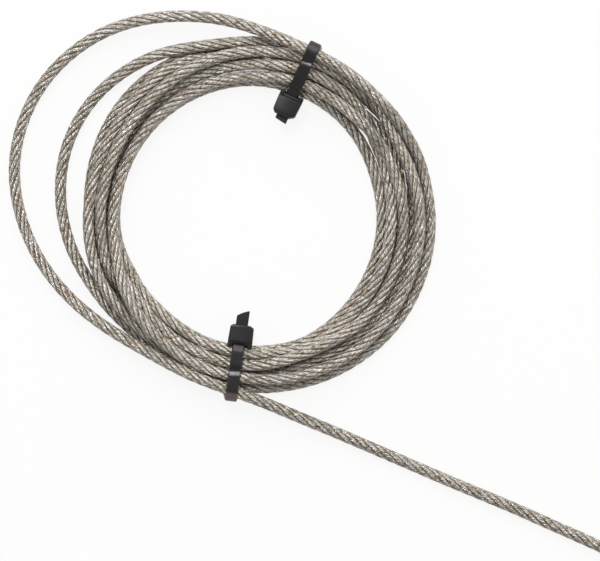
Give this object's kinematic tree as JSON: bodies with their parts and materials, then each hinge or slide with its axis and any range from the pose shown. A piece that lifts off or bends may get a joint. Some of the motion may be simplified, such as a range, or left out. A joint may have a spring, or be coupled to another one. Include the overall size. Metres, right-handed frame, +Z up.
{
  "type": "wire rope coil",
  "caption": "Flat round coil of thin galvanised steel wire rope tied with small black cable ties, with loose outer loops and a free end running off to one side.",
  "frame": {"origin": "middle of the underside of the whole part's box, on the surface that the coil lies on", "axes": "+Z up from the surface, +X to the right along the part's longest side, towards the free end, +Y away from the free end's side"},
  "size_m": [0.1288, 0.1162, 0.0096],
  "materials": {
    "galvanised_rope": "galvanised drawn wire, bright with a dull grey bloom",
    "black_nylon": "moulded nylon, semi-matte"
  },
  "bodies": {
    "root": {"coil_turns": "galvanised_rope", "outer_turn_and_free_end": "galvanised_rope", "middle_turn": "galvanised_rope", "cable_tie_top": "black_nylon", "cable_tie_bottom": "black_nylon"}
  },
  "joints": []
}
